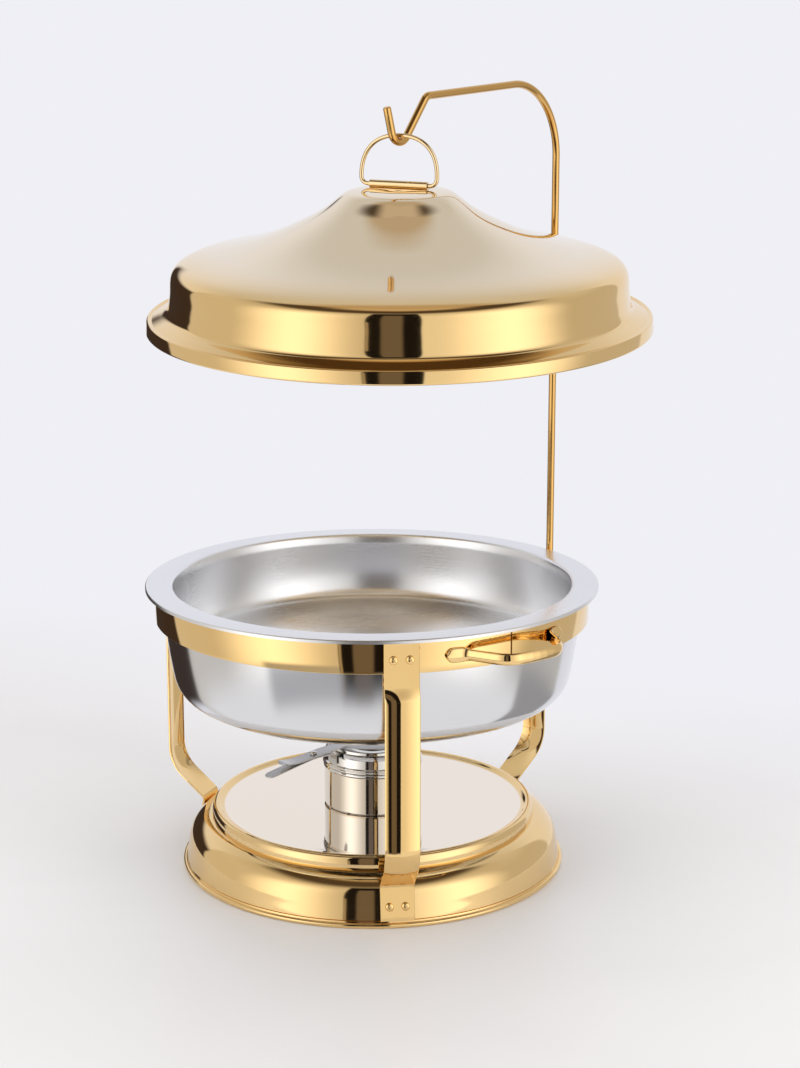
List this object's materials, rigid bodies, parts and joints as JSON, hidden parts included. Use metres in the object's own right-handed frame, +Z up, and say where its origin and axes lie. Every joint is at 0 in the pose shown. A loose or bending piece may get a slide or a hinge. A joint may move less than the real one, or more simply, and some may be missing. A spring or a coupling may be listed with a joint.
{
  "type": "chafing dish food warmer",
  "caption": "Round food warmer: nested steel pans in a gold stand above a burner, with a domed lid hanging by its ring from a hook rod.",
  "frame": {"origin": "on the table, under the middle of the whole footprint with the lid hanging", "axes": "+Z up, -Y the front between the two front legs, +Y the rear leg and hook rod, handles at +X and -X"},
  "size_m": [0.4706, 0.4154, 0.6547],
  "materials": {
    "gold": "mirror polished gold plating on stainless sheet and rod",
    "pan_steel": "satin stainless with a brighter flange",
    "burner_steel": "polished stainless"
  },
  "bodies": {
    "stand": {"base_shell": "gold", "fuel_tray": "gold", "leg_front_right": "gold", "leg_rear": "gold", "leg_front_left": "gold", "support_ring": "gold", "handle_right": "gold", "handle_left": "gold", "rod_socket": "gold", "screw_leg_front_right_top_a": "gold", "nut_leg_front_right_top_a": "gold", "screw_leg_front_right_top_b": "gold", "nut_leg_front_right_top_b": "gold", "screw_leg_front_right_foot_a": "gold", "nut_leg_front_right_foot_a": "gold", "screw_leg_front_right_foot_b": "gold", "nut_leg_front_right_foot_b": "gold", "screw_leg_rear_top_a": "gold", "nut_leg_rear_top_a": "gold", "screw_leg_rear_top_b": "gold", "nut_leg_rear_top_b": "gold", "screw_leg_rear_foot_a": "gold", "nut_leg_rear_foot_a": "gold", "screw_leg_rear_foot_b": "gold", "nut_leg_rear_foot_b": "gold", "screw_leg_front_left_top_a": "gold", "nut_leg_front_left_top_a": "gold", "screw_leg_front_left_top_b": "gold", "nut_leg_front_left_top_b": "gold", "screw_leg_front_left_foot_a": "gold", "nut_leg_front_left_foot_a": "gold", "screw_leg_front_left_foot_b": "gold", "nut_leg_front_left_foot_b": "gold"},
    "hook": {"hook_rod": "gold"},
    "bail": {"bail": "gold"},
    "lid": {"lid_shell": "gold", "bail_bracket": "gold"},
    "water_pan": {"water_pan": "pan_steel"},
    "food_pan": {"food_pan": "pan_steel"},
    "burner": {"burner_cup": "burner_steel", "fuel_cup": "burner_steel", "burner_collar": "burner_steel", "burner_handle": "burner_steel", "damper_rivet": "burner_steel"},
    "damper": {"damper_plate": "burner_steel"}
  },
  "joints": [
    {"name": "hook_swivel", "type": "hinge", "parent": "stand", "child": "hook", "pos_m": [-0.0193, 0.2029, 0.175], "axis": [0, 0, 1], "range_deg": [-90, 90]},
    {"name": "bail_swing", "type": "hinge", "parent": "hook", "child": "bail", "pos_m": [0.03772, -0.00902, 0.61515], "axis": [0.8398, 0.5424, -0.0234], "range_deg": [-6, 1.5]},
    {"name": "lid_tip", "type": "hinge", "parent": "bail", "child": "lid", "pos_m": [0.03698, -0.0095, 0.57726], "axis": [0.8398, 0.5424, -0.0234], "range_deg": [-6, 2]},
    {"name": "water_pan_lift", "type": "slide", "parent": "stand", "child": "water_pan", "axis": [0, 0, 1], "range_m": [0, 0.09]},
    {"name": "food_pan_lift", "type": "slide", "parent": "water_pan", "child": "food_pan", "axis": [0, 0, 1], "range_m": [0, 0.06]},
    {"name": "burner_slide", "type": "slide", "parent": "stand", "child": "burner", "axis": [0, -1, 0], "range_m": [0, 0.08]},
    {"name": "damper_swing", "type": "hinge", "parent": "burner", "child": "damper", "pos_m": [-0.0193, -0.0571, 0.104], "axis": [0, 0, 1], "range_deg": [-60, 60]}
  ]
}
